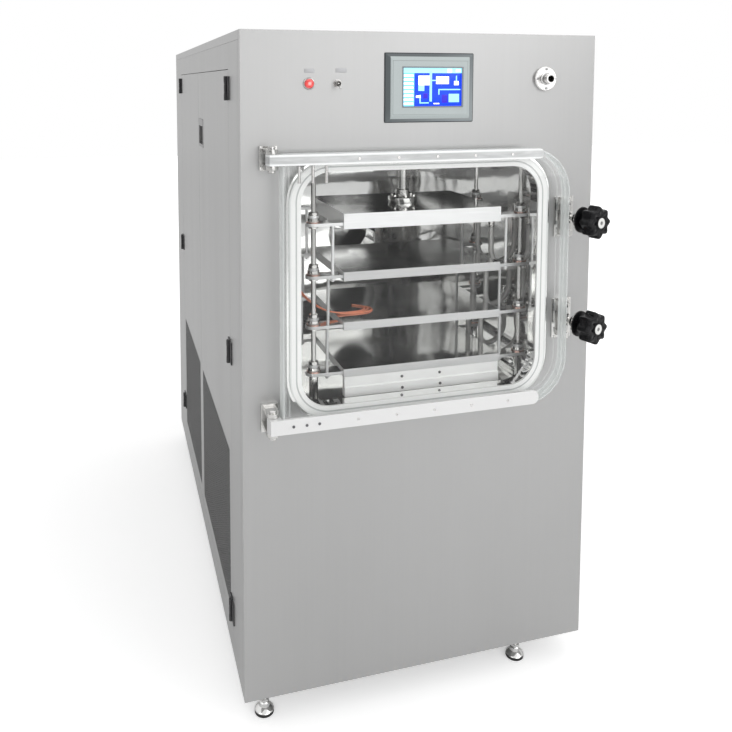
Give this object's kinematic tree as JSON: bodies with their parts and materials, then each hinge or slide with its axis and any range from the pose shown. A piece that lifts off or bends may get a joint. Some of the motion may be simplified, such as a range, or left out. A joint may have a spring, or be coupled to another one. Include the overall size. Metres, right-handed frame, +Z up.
{
  "type": "freeze dryer",
  "caption": "Floor-standing freeze dryer: stainless casing, square chamber with a clear door, pressed shelves and swing-bolt clamps with star knobs.",
  "frame": {"origin": "middle of the underside of the whole machine, on the floor", "axes": "+Z up, +Y from the chamber door to the back, +X from the access doors to the plain side"},
  "size_m": [0.9104, 1.7238, 1.65],
  "materials": {
    "satin_stainless": "satin brushed stainless sheet",
    "frame_steel": "grey painted steel",
    "bright_steel": "bright turned and milled stainless steel",
    "polished_stainless": "mirror polished stainless steel",
    "white_silicone": "white silicone",
    "clear_acrylic": "clear polished acrylic",
    "black_plastic": "black moulded plastic",
    "black_hinge": "black coated zinc",
    "white_rail": "bright white satin steel",
    "braided_hose": "stainless wire braid",
    "orange_lead": "orange-red silicone",
    "grey_bezel": "light grey moulded plastic",
    "screen": "glossy lit screen",
    "red_lens": "red translucent lens",
    "dark_nickel": "dark nickel",
    "compressor_black": "black enamel",
    "fin_aluminium": "bare rolled aluminium"
  },
  "bodies": {
    "cabinet": {"front_panel": "satin_stainless", "rear_panel": "satin_stainless", "top_cover": "satin_stainless", "right_side_panel": "satin_stainless", "left_side_frame": "satin_stainless", "base_frame": "frame_steel", "press_cylinder": "frame_steel", "foot_front_left": "bright_steel", "foot_front_right": "bright_steel", "foot_rear_left": "bright_steel", "foot_rear_right": "bright_steel", "hinge_bracket_top": "bright_steel", "hinge_bracket_bottom": "bright_steel", "clamp_bracket_upper": "bright_steel", "clamp_bracket_lower": "bright_steel", "guide_rod_front_left": "bright_steel", "guide_rod_front_right": "bright_steel", "guide_rod_rear_left": "bright_steel", "guide_rod_rear_right": "bright_steel", "hose_manifold": "bright_steel", "vent_port": "bright_steel", "chamber_vessel": "polished_stainless", "bottom_shelf": "polished_stainless", "cold_trap": "polished_stainless", "door_gasket": "white_silicone", "tray_rail": "white_rail", "hose_shelf_1_supply": "braided_hose", "hose_shelf_1_return": "braided_hose", "hose_shelf_2_supply": "braided_hose", "hose_shelf_2_return": "braided_hose", "hose_shelf_3_supply": "braided_hose", "hose_shelf_3_return": "braided_hose", "probe_lead": "orange_lead", "hmi_bezel": "grey_bezel", "hmi_screen": "screen", "indicator_lamp": "red_lens", "toggle_bushing": "dark_nickel", "compressor": "compressor_black", "condenser": "fin_aluminium"},
    "chamber_door": {"acrylic_door": "clear_acrylic", "door_bar_top": "bright_steel", "door_bar_bottom": "bright_steel"},
    "swing_upper": {"swing_bolt_upper": "bright_steel"},
    "knob_upper": {"star_knob_upper": "black_plastic"},
    "swing_lower": {"swing_bolt_lower": "bright_steel"},
    "knob_lower": {"star_knob_lower": "black_plastic"},
    "press_plate": {"press_ram": "bright_steel", "top_shelf": "polished_stainless"},
    "shelf_two": {"shelf_2": "polished_stainless"},
    "shelf_three": {"shelf_3": "polished_stainless"},
    "front_access_door": {"left_front_door": "satin_stainless", "flush_pull": "bright_steel", "front_door_hinge_top": "black_hinge", "front_door_hinge_middle": "black_hinge", "front_door_hinge_bottom": "black_hinge"},
    "rear_access_door": {"left_rear_door": "satin_stainless", "rear_door_hinge_top": "black_hinge", "rear_door_hinge_middle": "black_hinge", "rear_door_hinge_bottom": "black_hinge"},
    "toggle": {"toggle_lever": "bright_steel"}
  },
  "joints": [
    {"name": "chamber_door_hinge", "type": "hinge", "parent": "cabinet", "child": "chamber_door", "pos_m": [-0.38275, -0.78315, 1.0605], "axis": [0, 0, -1], "range_deg": [0, 120]},
    {"name": "swing_upper_pivot", "type": "hinge", "parent": "cabinet", "child": "swing_upper", "pos_m": [0.37525, -0.75615, 1.197], "axis": [0, 0, 1], "range_deg": [-18, 45]},
    {"name": "knob_upper_turn", "type": "hinge", "parent": "swing_upper", "child": "knob_upper", "pos_m": [0.37525, -0.75615, 1.197], "axis": [0.309, -0.9511, 0], "continuous": true},
    {"name": "swing_lower_pivot", "type": "hinge", "parent": "cabinet", "child": "swing_lower", "pos_m": [0.37525, -0.75615, 0.937], "axis": [0, 0, 1], "range_deg": [-18, 45]},
    {"name": "knob_lower_turn", "type": "hinge", "parent": "swing_lower", "child": "knob_lower", "pos_m": [0.37525, -0.75615, 0.937], "axis": [0.309, -0.9511, 0], "continuous": true},
    {"name": "press_slide", "type": "slide", "parent": "cabinet", "child": "press_plate", "axis": [0, 0, 1], "range_m": [-0.12, 0], "deforming": ["hose_shelf_1_supply", "hose_shelf_1_return"]},
    {"name": "shelf_two_slide", "type": "slide", "parent": "cabinet", "child": "shelf_two", "axis": [0, 0, 1], "range_m": [-0.08, 0], "deforming": ["hose_shelf_2_supply", "hose_shelf_2_return"]},
    {"name": "shelf_three_slide", "type": "slide", "parent": "cabinet", "child": "shelf_three", "axis": [0, 0, 1], "range_m": [-0.04, 0], "deforming": ["hose_shelf_3_supply", "hose_shelf_3_return", "probe_lead"]},
    {"name": "front_access_hinge", "type": "hinge", "parent": "cabinet", "child": "front_access_door", "pos_m": [-0.45025, -0.57315, 0.851], "axis": [0, 0, 1], "range_deg": [0, 110]},
    {"name": "rear_access_hinge", "type": "hinge", "parent": "cabinet", "child": "rear_access_door", "pos_m": [-0.45025, 0.63185, 0.851], "axis": [0, 0, -1], "range_deg": [0, 110]},
    {"name": "toggle_flip", "type": "hinge", "parent": "cabinet", "child": "toggle", "pos_m": [-0.21975, -0.74615, 1.53], "axis": [-1, 0, 0], "range_deg": [0, 56]}
  ],
  "couplings": [
    {"joint": "shelf_two_slide", "follows": "press_slide", "ratio": 0.6666},
    {"joint": "shelf_three_slide", "follows": "press_slide", "ratio": 0.3333}
  ]
}
